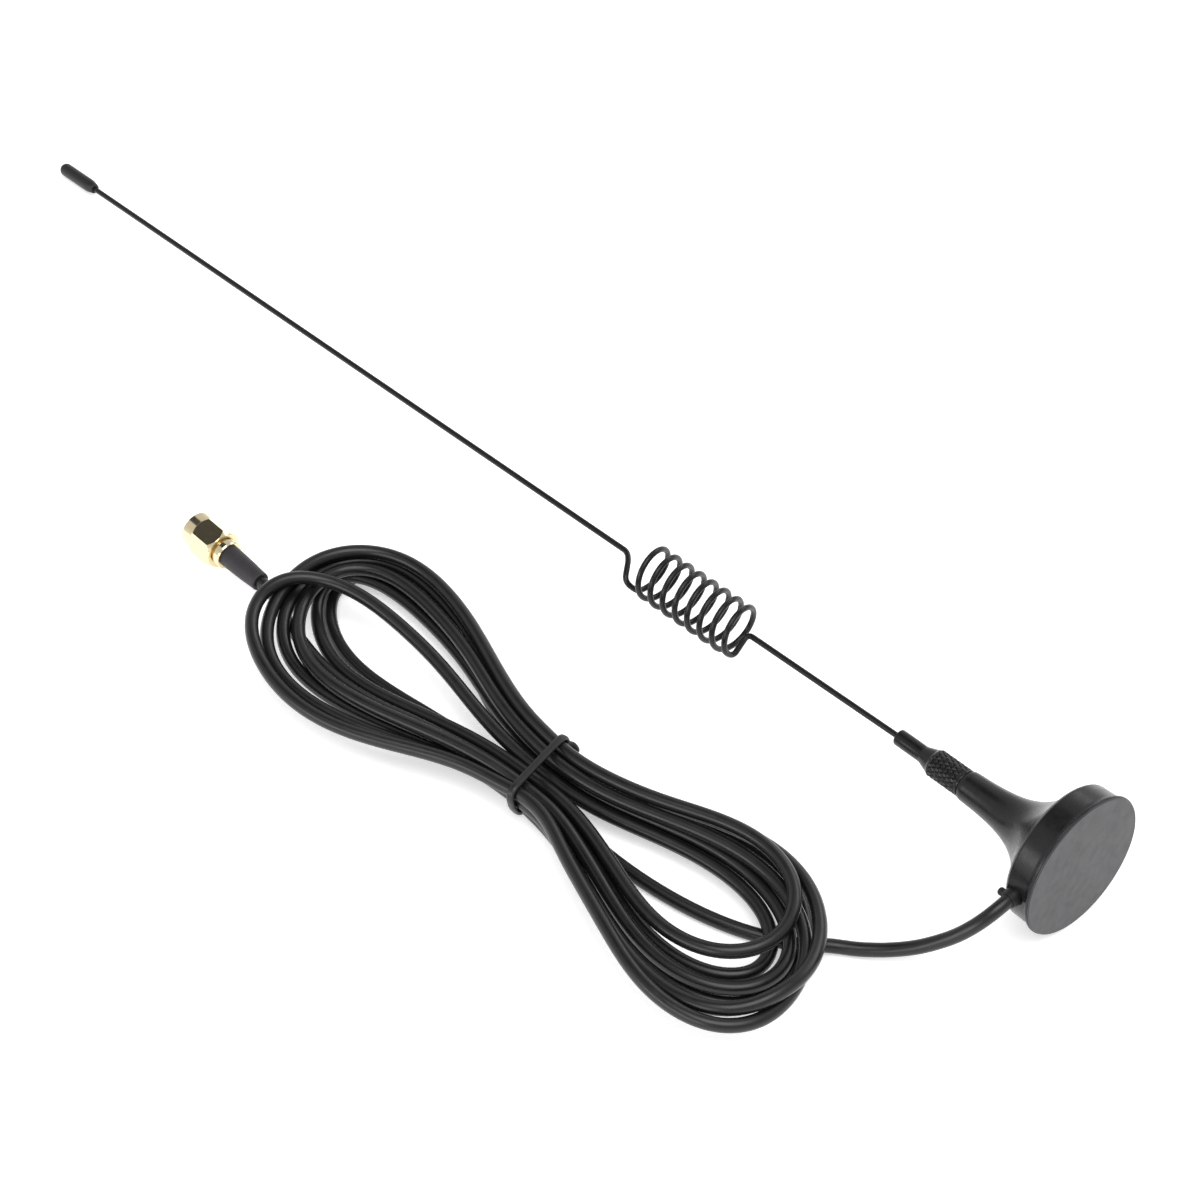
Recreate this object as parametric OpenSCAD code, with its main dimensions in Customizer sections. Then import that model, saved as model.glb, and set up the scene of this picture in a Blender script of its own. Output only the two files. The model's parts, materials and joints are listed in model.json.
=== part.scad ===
// Magnetic-base omnidirectional whip antenna with loading coil, coaxial
// lead in a tied hank and a male SMA plug, stored lying on its side.
// All sizes in millimetres.  +Z is up from the surface it lies on, +X runs
// along the whip towards the base, -Y is the side where the cable leaves.

/* [Node] */
// Which sub-part to draw ("all" draws the whole object)

/* [Base] */
// Outside radius of the base's bottom lip
base_r = 15; // [14.6:0.1:15.6]
// Radius of the base's side wall above the lip
side_r = 14.3; // [14.1:0.05:14.4]
// Height of the side wall, from the bottom face to the shoulder
side_h = 6.3; // [6.2:0.05:6.6]
// Radius of the neck where the whip screws on
neck_r = 3.1; // [3:0.05:3.4]
// Height of the neck's top above the bottom face
neck_h = 28.9; // [28.5:0.1:30]
// Length over which the flare dies out towards the neck
flare_len = 5.2; // [4:0.1:5.6]

/* [Whip] */
// Diameter of the whip wire
wire_d = 1.25; // [1.1:0.05:1.5]
// Mean radius of the loading coil
coil_r = 5.3; // [5:0.1:5.8]
// Axial pitch of one coil turn
coil_pitch = 3.52; // [3.2:0.02:3.6]
// Height of the coil's lower end above the bottom face
coil_s = 87.8; // [87:0.1:92]
// Height of the bend above the coil
bend_s = 121.4; // [120.5:0.1:124]
// Height of the tip cap's end above the bottom face
tip_s = 319.5; // [300:0.5:340]
// Radius of the tip cap
cap_r = 1.56; // [1.5:0.02:1.9]
// Radius of the knurled grip
grip_r = 2.9; // [2.7:0.05:3.1]
// Diameter of the screw thread between whip and base
stud_d = 3; // [2.6:0.1:3.2]

/* [Cable and plug] */
// Outside diameter of the coaxial cable
cable_d = 2.8; // [2.5:0.05:2.9]
// Thickness of the tied hank
hank_h = 7; // [5:0.1:8]
// Size across the flats of the plug's coupling nut
nut_af = 8; // [7.8:0.05:8.2]

/* [Hidden] */

// ---- placing the antenna on the surface ----
// it rests on the lip's edge and on the cap's round end
lip_s = 0.8;
lip_top = lip_s + 0.1;
ball_s = tip_s - cap_r;
tilt = atan(base_r/(ball_s - lip_s)) - asin(cap_r/norm([base_r, ball_s - lip_s]));
base_z = base_r*cos(tilt) + lip_s*sin(tilt);
pad_r = base_r - 0.2;
boot_out = 16.1;                              // how far the cable boot stands out
bx = (ball_s*cos(tilt) + cap_r - (pad_r - 0.15)*sin(tilt))/2;
by = (boot_out - base_r)/2;

// local frame of the antenna: z along the axis from the bottom face to the
// tip, x up, y away from the cable side
module ant() { translate([bx, by, base_z]) rotate([0, -(90 + tilt), 0]) children(); }

// local frame of the plug: z along its axis from the mouth towards the cable
plug_x = -191.65; plug_y = -59.94; plug_z = 4.55;
module plug() { translate([bx + plug_x, by + plug_y, plug_z]) rotate([0, 90, 0]) children(); }

module ring(ro, ri, z0, z1) {
  rotate_extrude($fn = 72) polygon([[ri, z0], [ro, z0], [ro, z1], [ri, z1]]);
}
module rod(r, z0, z1) { translate([0, 0, z0]) cylinder(r = r, h = z1 - z0, $fn = 48); }
// a rod pointing to the cable side, between two distances from the axis
module side_rod(r, y0, y1, z, x = 0) {
  translate([x, -y0, z]) rotate([90, 0, 0]) cylinder(r = r, h = y1 - y0, $fn = 48);
}
// ---- base ----
cav_r = 12.8; cav_top = 5.8;
cable_z = 4;                                   // height of the cable's outlet
pad_t = 0.4;
flare_s = side_h + 0.4;
function flare(z) = (neck_r - 0.1) + (side_r - 0.8 - neck_r)*exp(-(z - flare_s)/flare_len);
neck_steps = 22;
flare_pts = [for (i = [0:neck_steps]) let(z = flare_s + (neck_h - 0.7 - flare_s)*i/neck_steps) [flare(z), z]];
stud_r = stud_d/2;
head_r = 2.2; head_z0 = 9; head_z1 = 14;

module base_housing() color([0.10, 0.10, 0.105]) ant() {
  difference() {
    rotate_extrude($fn = 96) polygon(concat(
      [[cav_r, pad_t], [base_r, pad_t], [base_r, lip_s], [base_r - 0.1, lip_top],
       [side_r + 0.12, lip_top + 0.15], [side_r, side_h - 0.6], [side_r - 0.18, side_h - 0.15],
       [side_r - 0.6, side_h]],
      flare_pts,
      [[neck_r - 0.06, neck_h - 0.2], [neck_r - 0.22, neck_h], [stud_r, neck_h],
       [stud_r, head_z1], [head_r, head_z1], [head_r, head_z0], [stud_r - 0.4, head_z0],
       [stud_r - 0.4, 8], [3.6, 8], [4.2, cav_top], [cav_r, cav_top]]));
    side_rod(1.85, 11, 20, cable_z);
  }
}
module bottom_pad() color([0.42, 0.42, 0.43]) ant() {
  rotate_extrude($fn = 96) polygon([[0, 0], [pad_r - 0.15, 0], [pad_r, 0.12], [pad_r, pad_t], [0, pad_t]]);
}
module magnet() color([0.30, 0.30, 0.31]) ant() {
  rotate_extrude($fn = 72) polygon([[0, pad_t], [10.8, pad_t], [11, pad_t + 0.2], [11, 2.7], [10.8, 2.9], [0, 2.9]]);
}
module ground_plate() color([0.75, 0.76, 0.78]) ant() {
  difference() {
    ring(11, 2.2, 2.9, 3.3);
    side_rod(1.7, 10.2, 12, cable_z);
  }
}
module threaded_stud() color([0.80, 0.66, 0.36]) ant() {
  rotate_extrude($fn = 72) polygon([[0, 4.7], [stud_r - 0.6, 4.7], [stud_r - 0.4, 4.9], [stud_r - 0.4, head_z0],
    [head_r, head_z0], [head_r, head_z1], [stud_r, head_z1], [stud_r, neck_h + 5.3],
    [stud_r - 0.4, neck_h + 5.7], [0, neck_h + 5.7]]);
}
module cable_grommet() color([0.07, 0.07, 0.075]) ant() {
  difference() {
    union() {
      translate([0, -12.2, cable_z]) rotate([90, 0, 0])
        rotate_extrude($fn = 48) polygon([[0, 0], [1.84, 0], [1.84, 2.7], [1.7, boot_out - 12.4], [1.55, boot_out - 12.2], [0, boot_out - 12.2]]);
      translate([0, -15.15, cable_z + 1.2]) rotate_extrude($fn = 36)
        polygon([[0, 0], [0.8, 0], [0.8, 1.35], [0.6, 1.6], [0.3, 1.6], [0.2, 1.35], [0, 1.35]]);
    }
    side_rod(cable_d/2 + 0.02, 12, 17, cable_z);
  }
}
core_end = 11.5;                               // where the jacket ends inside the base
module coax_core_base() color([0.93, 0.93, 0.90]) ant() {
  difference() {
    side_rod(0.68, 4.6, core_end, cable_z);
    side_rod(0.26, 4, 13, cable_z);
  }
}
module centre_conductor() color([0.80, 0.56, 0.40]) ant() side_rod(0.25, 0.2, core_end, cable_z);
module braid_pigtail() color([0.72, 0.66, 0.60]) ant()
  translate([1.05, -core_end + 0.12, 3.62]) rotate([0, 0, -22]) rotate([-90, 0, 0]) cylinder(r = 0.3, h = 4.6, $fn = 36);
module solder_joint_stud() color([0.78, 0.78, 0.80]) ant() {
  rotate_extrude($fn = 48) polygon([[0, 3.6], [0.8, 3.65], [1.25, 4.1], [1.35, 4.7], [1.3, 5.3], [0, 5.3]]);
}
module solder_joint_plate() color([0.78, 0.78, 0.80]) ant() {
  translate([2.8, -7, 0]) rotate_extrude($fn = 48) polygon([[0, 3.3], [1.1, 3.3], [0.9, 3.7], [0.5, 4.05], [0, 4.15]]);
}

// ---- whip ----
wash_t = 0.25;
grip_s0 = neck_h + wash_t; grip_s1 = 36.9; cone_s = 40; tube_s = 46.6;
wire_r = wire_d/2;
tube_r = 1.72;
module seal_washer() color([0.08, 0.08, 0.08]) ant() {
  rotate_extrude($fn = 60) polygon([[stud_r + 0.09, neck_h], [2.72, neck_h], [2.78, neck_h + 0.06],
    [2.78, grip_s0 - 0.06], [2.72, grip_s0], [stud_r + 0.09, grip_s0]]);
}
module whip_ferrule() color([0.10, 0.10, 0.105]) ant() {
  difference() {
    rotate_extrude($fn = 72) polygon([[0, grip_s0], [grip_r - 0.2, grip_s0], [grip_r, grip_s0 + 0.2],
      [grip_r, grip_s1 - 0.15], [grip_r - 0.2, grip_s1 + 0.1], [tube_r + 0.12, cone_s - 0.25], [tube_r, cone_s],
      [tube_r, tube_s - 0.35], [tube_r - 0.1, tube_s - 0.1], [tube_r - 0.35, tube_s], [0, tube_s]]);
    rod(stud_r + 0.05, grip_s0 - 1, neck_h + 6.4);
    rod(wire_r + 0.02, 38, tube_s + 1);
  }
}

cap_s0 = tip_s - 13.1;
// wire path, as [x up, y away, z along] points
turns = 8;
coil_phase = 217.5;                             // where the first and last turns start
coil_lean = 0.4;                               // how much the turns lean along the axis
near = 153;                                    // side of the coil that leans to the base
lean = 0.0204;                                 // the wire leans a little to the cable side
function drift(s) = s < 47 ? 0 : -lean*(s - 47);
coil_off = -0.7;                               // the coil hangs a little off the wire's line
function helix(t) = let(ph = coil_phase + 360*turns*t,
    s = coil_s + coil_pitch*turns*(1 - t) - coil_lean*cos(ph - near))
  [coil_r*sin(ph), drift(s) + coil_off + coil_r*cos(ph), s];
function bez(a, b, c, n) = [for (i = [0:n]) let(t = i/n) a*(1 - t)*(1 - t) + b*2*t*(1 - t) + c*t*t];
function mix(a, b, t) = a*(1 - t) + b*t;
per_turn = 16;
h0 = helix(0); h1 = helix(1);
k0 = h0 + [0.9, -0.7, 1.3];                    // corner of the upper leg
b0 = [0, drift(bend_s), bend_s];
k1 = h1 + [-0.9, 0.7, -0.15];                  // corner of the lower leg
b1 = [0, drift(coil_s - 0.6), coil_s - 0.6];
wire_pts = concat(
  [[0, drift(cap_s0 + 6.3), cap_s0 + 6.3], [0, drift(250), 250], [0, drift(190), 190], [0, drift(bend_s + 8), bend_s + 8]],
  bez([0, drift(bend_s + 1.6), bend_s + 1.6], b0, mix(b0, k0, 0.35), 4),
  bez(mix(b0, k0, 0.70), k0, helix(0.008), 5),
  [for (i = [1:turns*per_turn - 1]) helix(0.008 + 0.984*i/(turns*per_turn))],
  bez(helix(0.992), k1, mix(k1, b1, 0.3), 5),
  bez(mix(k1, b1, 0.75), b1, [0, drift(coil_s - 2), coil_s - 2], 4),
  [[0, drift(70), 70], [0, drift(54), 54], [0, 0, 46], [0, 0, 38.1]]);

function unit(v) = v/norm(v);
function dirs(p) = let(n = len(p)) [for (i = [0:n - 1])
  i == 0 ? unit(p[1] - p[0]) : i == n - 1 ? unit(p[n - 1] - p[n - 2]) :
  unit(unit(p[i] - p[i - 1]) + unit(p[i + 1] - p[i]))];
// carries a side direction along the path without twisting
function carry(d, i, u) = let(v = unit(u - d[i]*(u*d[i]))) i == len(d) - 1 ? [v] : concat([v], carry(d, i + 1, v));
module sweep(p, r, sides, start = [0, 1, 0]) {
  d = dirs(p); u = carry(d, 0, start); n = len(p);
  pts = [for (i = [0:n - 1]) let(w = cross(d[i], u[i])) for (k = [0:sides - 1])
    p[i] + r*cos(360*k/sides)*u[i] + r*sin(360*k/sides)*w];
  faces = concat(
    [[for (k = [0:sides - 1]) sides - 1 - k]],
    [for (i = [0:n - 2]) for (k = [0:sides - 1]) let(a = i*sides + k, b = i*sides + (k + 1)%sides)
      each [[a, b, b + sides], [a, b + sides, a + sides]]],
    [[for (k = [0:sides - 1]) (n - 1)*sides + k]]);
  polyhedron(points = pts, faces = [for (f = faces) [for (i = [len(f) - 1:-1:0]) f[i]]], convexity = 10);
}
module whip_wire() color([0.12, 0.12, 0.125]) ant() sweep(wire_pts, wire_r, 8);

cap_len = tip_s - cap_s0;
module tip_cap() color([0.08, 0.08, 0.08]) ant()
  translate([0, drift(cap_s0), cap_s0]) rotate([atan(lean), 0, 0]) difference() {
    rotate_extrude($fn = 48) polygon(concat(
      [[0, 0], [wire_r + 0.35, 0], [wire_r + 0.5, 0.15], [cap_r - 0.12, 1.5], [cap_r, 2.1]],
      [for (i = [0:8]) [cap_r*cos(i*11.25), cap_len - cap_r + cap_r*sin(i*11.25)]]));
    rod(wire_r + 0.02, -1, 6.6);
  }

// ---- cable ----
cr = cable_d/2;
// route of the lead from inside the base to the hank
lead_pts = [for (p = [
  [-4, -11.5, 14.85], [-4, -14, 14.85], [-4, -16.6, 14.8], [-4.3, -19.2, 14], [-5.2, -21.7, 12.3], [-6.8, -24, 10],
  [-9, -26.2, 7.6], [-12.8, -29.4, 4.6], [-17.2, -32.9, 2.6], [-21.8, -36.4, 1.7], [-25.8, -39.4, 1.5]])
  [p[0] + bx, p[1] + by, p[2]]];
module cable_lead() color([0.06, 0.06, 0.065]) sweep(lead_pts, cr, 10, [1, 0, 0]);

hx = -93; hy = -52.4;                          // the tied waist
module hank_outline() {
  hull() { translate([-148, -53.4]) circle(r = 22.4, $fn = 72); translate([hx, hy]) circle(r = 9.4, $fn = 36); }
  hull() { translate([-40.4, -51.6]) circle(r = 21, $fn = 72); translate([hx, hy]) circle(r = 9.4, $fn = 36); }
}
module hank_holes() {
  hull() { translate([-150, -51.4]) circle(r = 7, $fn = 48); translate([-112, -52.2]) circle(r = 2, $fn = 24); }
  hull() { translate([-44, -51.2]) circle(r = 7, $fn = 48); translate([-76, -52]) circle(r = 2, $fn = 24); }
}
// the tie's ring, upright across the waist
tie_t = 0.6; tie_w = 1.2;
module tie_place() { translate([bx - 92, by + hy, 0]) rotate([0, 0, 8]) rotate([90, 0, 90]) children(); }
module oval(w, z0, z1) {
  h = (z1 - z0)/2;
  polygon([for (k = [0:23]) let(a = -90 + 180*k/23) [(w/2 - h) + h*cos(a), (z0 + z1)/2 + h*sin(a)],
           for (k = [0:23]) let(a = 90 + 180*k/23) [-(w/2 - h) + h*cos(a), (z0 + z1)/2 + h*sin(a)]]);
}
module cable_hank() color([0.06, 0.06, 0.065]) difference() {
  translate([bx, by, 0]) linear_extrude(height = hank_h) difference() { hank_outline(); hank_holes(); }
  tie_place() linear_extrude(height = tie_w + 0.1, center = true) difference() {
    translate([-13, -2]) square([26, 12]);
    oval(18.9, tie_t + 0.05, hank_h - 0.45);
  }
}
module cable_tie() color([0.05, 0.05, 0.05]) tie_place() linear_extrude(height = tie_w, center = true)
  difference() { oval(20.2, 0, hank_h + 0.2); oval(19, tie_t, hank_h - 0.4); }

module cable_tail() color([0.06, 0.06, 0.065]) sweep([for (p = [
  [-173.6, -59.94, 4.55], [-171.5, -59.94, 4.55], [-169, -59.94, 4.55], [-167, -59.7, 4.2]])
  [p[0] + bx, p[1] + by, p[2]]], cr, 12, [0, 0, 1]);

// ---- plug, z from the mouth ----
module heat_shrink() color([0.17, 0.17, 0.175]) plug() {
  rotate_extrude($fn = 60) polygon([[1.95, 10.95], [2.45, 10.95], [2.42, 12.8], [2.28, 17], [2.12, 19.2], [2.04, 21.2], [1.94, 21.4],
    [1.43, 21.4], [1.43, 19.4], [1.95, 18.9]]);
}
module crimp_sleeve() color([0.83, 0.69, 0.36]) plug() ring(1.9, 1.45, 11, 18.6);
module coax_core_plug() color([0.93, 0.93, 0.90]) plug() ring(0.78, 0.28, 10.2, 18);
module sma_body() color([0.86, 0.72, 0.38]) plug() {
  rotate_extrude($fn = 72) polygon([[2.06, 2.9], [2.28, 2.9], [2.28, 4.3], [2.7, 4.3], [2.7, 6], [2.25, 6], [2.25, 6.6],
    [2.5, 6.6], [2.5, 8.8], [2.7, 8.9], [2.7, 9.1], [3.05, 9.1], [3.2, 9.25], [3.2, 10.6], [3, 10.9],
    [1.4, 10.9], [1.4, 17.4], [0.82, 17.4], [0.82, 8.6], [2.06, 8.6]]);
}
module sma_insulator() color([0.95, 0.95, 0.93]) plug() ring(2.05, 0.66, 2.9, 8.6);
module sma_pin() color([0.90, 0.76, 0.42]) plug() {
  rotate_extrude($fn = 48) polygon([[0, 0.55], [0.12, 0.55], [0.46, 0.95], [0.46, 2.9], [0.65, 2.9], [0.65, 9.6],
    [0.27, 10], [0.27, 12], [0, 12]]);
}
module sma_snap_ring() color([0.80, 0.68, 0.36]) plug() difference() {
  ring(2.9, 2.26, 6.08, 6.52);
  translate([0, 0, 5]) cube([6, 0.8, 3]);
}
module sma_gasket() color([0.55, 0.12, 0.10]) plug() ring(2.85, 2.3, 3.8, 4.28);
nut_len = 8.8;
nut_mouth = -0.7;                             // the mouth stands this far in front of the pin's datum
nut_turn = 47;                                // the flats' turn about the plug's axis
module sma_nut() color([0.86, 0.72, 0.38]) plug() difference() {
  union() {
    rotate_extrude($fn = 72) polygon([[0, nut_mouth], [3.65, nut_mouth], [3.9, nut_mouth + 0.25], [3.9, 2.6], [0, 2.6]]);
    intersection() {
      translate([0, 0, 2.1]) rotate([0, 0, nut_turn]) cylinder(r = nut_af/2/cos(30), h = nut_len - 2.1, $fn = 6);
      rotate_extrude($fn = 72) polygon([[0, 2.1], [3.93, 2.1], [4.7, 3.15], [4.7, nut_len - 1.05], [3.93, nut_len], [0, nut_len]]);
    }
  }
  rod(3, nut_mouth - 1, 5.7);
  rod(3.15, 5.6, 7);
  rod(2.55, 6.9, 10);
}

base_housing();
bottom_pad();
magnet();
ground_plate();
threaded_stud();
cable_grommet();
coax_core_base();
centre_conductor();
braid_pigtail();
solder_joint_stud();
solder_joint_plate();
seal_washer();
whip_ferrule();
whip_wire();
tip_cap();
cable_lead();
cable_hank();
cable_tie();
cable_tail();
heat_shrink();
crimp_sleeve();
coax_core_plug();
sma_body();
sma_insulator();
sma_pin();
sma_snap_ring();
sma_gasket();
sma_nut();
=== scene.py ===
import bpy, bmesh, json, math
import numpy as np
from mathutils import Vector, Matrix

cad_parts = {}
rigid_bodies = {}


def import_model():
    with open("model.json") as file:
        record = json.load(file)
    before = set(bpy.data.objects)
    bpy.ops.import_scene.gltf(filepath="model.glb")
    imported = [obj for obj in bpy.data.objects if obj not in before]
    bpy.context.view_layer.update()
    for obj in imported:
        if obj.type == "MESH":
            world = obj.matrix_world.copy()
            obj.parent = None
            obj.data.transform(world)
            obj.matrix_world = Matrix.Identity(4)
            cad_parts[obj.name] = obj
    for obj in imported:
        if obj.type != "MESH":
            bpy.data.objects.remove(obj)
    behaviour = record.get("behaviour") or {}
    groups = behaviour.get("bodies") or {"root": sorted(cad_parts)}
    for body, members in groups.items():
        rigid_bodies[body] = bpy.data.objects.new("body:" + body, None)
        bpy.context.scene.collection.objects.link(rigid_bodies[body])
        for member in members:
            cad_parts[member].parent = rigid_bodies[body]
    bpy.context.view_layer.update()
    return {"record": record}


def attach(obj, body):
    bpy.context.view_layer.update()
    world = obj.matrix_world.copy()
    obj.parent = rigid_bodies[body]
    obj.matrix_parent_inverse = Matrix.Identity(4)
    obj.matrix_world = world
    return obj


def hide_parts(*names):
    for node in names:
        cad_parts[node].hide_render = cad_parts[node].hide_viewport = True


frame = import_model()
scene = bpy.context.scene
MM = 0.001

# ------------------------------------------------------------------ frame
mounts = {m["name"]: m for m in frame["record"]["mounts"]}
B0 = np.array(mounts["magnet_face"]["pos_m"]) / MM          # centre of the bottom face
E_Z = -np.array(mounts["magnet_face"]["axis"]); E_Z /= np.linalg.norm(E_Z)   # towards the tip
E_Y = np.array([0.0, 1.0, 0.0])
E_X = np.cross(E_Y, E_Z); E_X /= np.linalg.norm(E_X)        # up, square to the whip
if E_X[2] < 0:
    E_X = -E_X
BX, BY = B0[0], B0[1]


def A(x, y, z):
    """point of the antenna: x up, y away from the cable, z from the bottom face, mm"""
    return B0 + x * E_X + y * E_Y + z * E_Z


# ------------------------------------------------------------------ camera
cam_data = bpy.data.cameras.new("cam")
cam_data.lens = 90.0
cam_data.sensor_width = 36.0
cam_data.sensor_fit = "HORIZONTAL"
cam_data.clip_start = 0.01
cam_data.clip_end = 20
cam = bpy.data.objects.new("cam", cam_data)
scene.collection.objects.link(cam)
cam.location = Vector(((BX + 205.03) * MM, (BY - 306.12) * MM, 437.53 * MM))
look = Vector((-0.52646, 0.47819, -0.70297))
cam.rotation_euler = look.to_track_quat("-Z", "Y").to_euler()
scene.camera = cam


# ------------------------------------------------------------------ materials
def lin(c):
    return tuple(((v / 12.92) if v <= 0.04045 else ((v + 0.055) / 1.055) ** 2.4) for v in c)


def material(name, color, rough=0.5, metal=0.0, coat=0.0, coat_rough=0.1, spec=0.5, ior=1.5,
             var=0.12, var_scale=300.0, rough_var=0.08, rough_scale=500.0, bump=0.0, bump_scale=2500.0,
             fine=0.0, fine_scale=9000.0, sheen=0.0, tint=None, aniso=0.0, trans=0.0, glow=0.0):
    m = bpy.data.materials.new(name)
    m.use_nodes = True
    nt = m.node_tree
    b = nt.nodes["Principled BSDF"]
    b.inputs["Metallic"].default_value = metal
    b.inputs["Specular IOR Level"].default_value = spec
    b.inputs["IOR"].default_value = ior
    b.inputs["Coat Weight"].default_value = coat
    b.inputs["Coat Roughness"].default_value = coat_rough
    b.inputs["Sheen Weight"].default_value = sheen
    b.inputs["Anisotropic"].default_value = aniso
    b.inputs["Transmission Weight"].default_value = trans
    if glow:
        b.inputs["Emission Color"].default_value = (1, 1, 1, 1)
        b.inputs["Emission Strength"].default_value = glow
    tc = nt.nodes.new("ShaderNodeTexCoord")
    # colour, gently uneven
    n1 = nt.nodes.new("ShaderNodeTexNoise")
    n1.inputs["Scale"].default_value = var_scale
    n1.inputs["Detail"].default_value = 5
    n1.inputs["Roughness"].default_value = 0.6
    nt.links.new(tc.outputs["Object"], n1.inputs["Vector"])
    r1 = nt.nodes.new("ShaderNodeValToRGB")
    lo = [max(0.0, c * (1 - var)) for c in color]
    hi = [min(1.0, c * (1 + var)) for c in (tint or color)]
    r1.color_ramp.elements[0].position = 0.3
    r1.color_ramp.elements[1].position = 0.7
    r1.color_ramp.elements[0].color = (*lo, 1)
    r1.color_ramp.elements[1].color = (*hi, 1)
    nt.links.new(n1.outputs["Fac"], r1.inputs["Fac"])
    nt.links.new(r1.outputs["Color"], b.inputs["Base Color"])
    # roughness
    n2 = nt.nodes.new("ShaderNodeTexNoise")
    n2.inputs["Scale"].default_value = rough_scale
    n2.inputs["Detail"].default_value = 6
    nt.links.new(tc.outputs["Object"], n2.inputs["Vector"])
    mr = nt.nodes.new("ShaderNodeMapRange")
    mr.inputs["From Min"].default_value = 0.3
    mr.inputs["From Max"].default_value = 0.7
    mr.inputs["To Min"].default_value = max(0.02, rough - rough_var)
    mr.inputs["To Max"].default_value = min(1.0, rough + rough_var)
    nt.links.new(n2.outputs["Fac"], mr.inputs["Value"])
    nt.links.new(mr.outputs["Result"], b.inputs["Roughness"])
    if bump or fine:
        last = None
        for amount, scale in ((bump, bump_scale), (fine, fine_scale)):
            if not amount:
                continue
            n3 = nt.nodes.new("ShaderNodeTexNoise")
            n3.inputs["Scale"].default_value = scale
            n3.inputs["Detail"].default_value = 4
            nt.links.new(tc.outputs["Object"], n3.inputs["Vector"])
            bp = nt.nodes.new("ShaderNodeBump")
            bp.inputs["Strength"].default_value = 1.0
            bp.inputs["Distance"].default_value = amount * MM
            nt.links.new(n3.outputs["Fac"], bp.inputs["Height"])
            if last:
                nt.links.new(last.outputs["Normal"], bp.inputs["Normal"])
            last = bp
        nt.links.new(last.outputs["Normal"], b.inputs["Normal"])
    return m


M = {}
M["base"] = material("base_black", (0.0065, 0.0065, 0.007), rough=0.28, spec=0.34, var=0.2, rough_var=0.05, rough_scale=700, bump=0.010, bump_scale=1500, fine=0.004, fine_scale=9000)
M["pad"] = material("pad_grey", (0.037, 0.037, 0.040), rough=0.40, spec=0.3, var=0.05, var_scale=120, rough_var=0.06, bump=0.006, bump_scale=600, fine=0.003)
M["magnet"] = material("magnet_nickel", (0.55, 0.53, 0.50), rough=0.25, metal=1.0)
M["tin"] = material("tin_plate", (0.70, 0.71, 0.72), rough=0.35, metal=1.0)
M["brass"] = material("stud_brass", (0.72, 0.50, 0.20), rough=0.25, metal=1.0)
M["boot"] = material("boot_rubber", (0.006, 0.006, 0.0065), rough=0.45, spec=0.3, var=0.1, bump=0.01, bump_scale=2500)
M["pe"] = material("dielectric", (0.82, 0.82, 0.78), rough=0.4)
M["copper"] = material("copper_wire", (0.80, 0.42, 0.22), rough=0.3, metal=1.0)
M["braid"] = material("braid", (0.66, 0.58, 0.48), rough=0.4, metal=1.0)
M["solder"] = material("solder", (0.66, 0.67, 0.68), rough=0.3, metal=1.0, bump=0.02, bump_scale=900)
M["washer"] = material("washer_rubber", (0.008, 0.008, 0.008), rough=0.6, spec=0.3)
M["whip"] = material("whip_black", (0.006, 0.006, 0.0065), rough=0.26, spec=0.28, var=0.2, rough_var=0.06, rough_scale=900, bump=0.003, bump_scale=4000)
M["ferrule"] = material("ferrule_black", (0.006, 0.006, 0.0065), rough=0.24, spec=0.28, var=0.2, rough_var=0.06, rough_scale=900, bump=0.003, bump_scale=4000)
M["cap"] = material("cap_black", (0.008, 0.008, 0.0085), rough=0.40, spec=0.34, rough_var=0.05, bump=0.006, bump_scale=2500)
M["cable"] = material("cable_black", (0.0060, 0.0060, 0.0063), rough=0.31, spec=0.40, rough_var=0.05, rough_scale=450, bump=0.008, bump_scale=420, fine=0.002, fine_scale=6000)
M["tie"] = material("tie_black", (0.010, 0.010, 0.010), rough=0.38, spec=0.36, bump=0.01, bump_scale=1500)
M["shrink"] = material("shrink_grey", (0.024, 0.0215, 0.0245), rough=0.52, spec=0.30, rough_var=0.05, bump=0.012, bump_scale=1200, fine=0.004)
M["gold"] = material("gold", (0.77, 0.665, 0.44), rough=0.13, metal=1.0, var=0.04, rough_var=0.04, rough_scale=1200, bump=0.0015, bump_scale=3000)
M["crimp"] = material("crimp_gold", (0.80, 0.62, 0.32), rough=0.25, metal=1.0)
M["ptfe"] = material("ptfe", (0.86, 0.86, 0.84), rough=0.45)
M["gasket"] = material("gasket_red", (0.30, 0.05, 0.04), rough=0.5)
M["spring"] = material("spring_brass", (0.72, 0.58, 0.30), rough=0.3, metal=1.0)
M["floor"] = material("floor", (0.90, 0.90, 0.90), rough=0.9, spec=0.1, var=0.004, var_scale=3, glow=0.42)

NODE_MAT = {"base_housing": "base", "bottom_pad": "pad", "magnet": "magnet", "ground_plate": "tin", "threaded_stud": "brass",
            "cable_grommet": "boot", "coax_core_base": "pe", "centre_conductor": "copper", "braid_pigtail": "braid",
            "solder_joint_stud": "solder", "solder_joint_plate": "solder", "seal_washer": "washer", "whip_ferrule": "ferrule",
            "whip_wire": "whip", "tip_cap": "cap", "cable_lead": "cable", "cable_hank": "cable", "cable_tie": "tie",
            "cable_tail": "cable", "heat_shrink": "shrink", "crimp_sleeve": "crimp", "coax_core_plug": "pe", "sma_body": "gold",
            "sma_insulator": "ptfe", "sma_pin": "gold", "sma_snap_ring": "spring", "sma_gasket": "gasket", "sma_nut": "gold"}


def node_object(name):
    for o in bpy.data.objects:
        if o.name == name or o.get("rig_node") == name:
            return o
    raise RuntimeError("no node " + name)


for n, k in NODE_MAT.items():
    o = node_object(n)
    if len(o.material_slots) == 0:
        o.data.materials.append(M[k])
    for s in o.material_slots:
        s.material = M[k]


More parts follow.
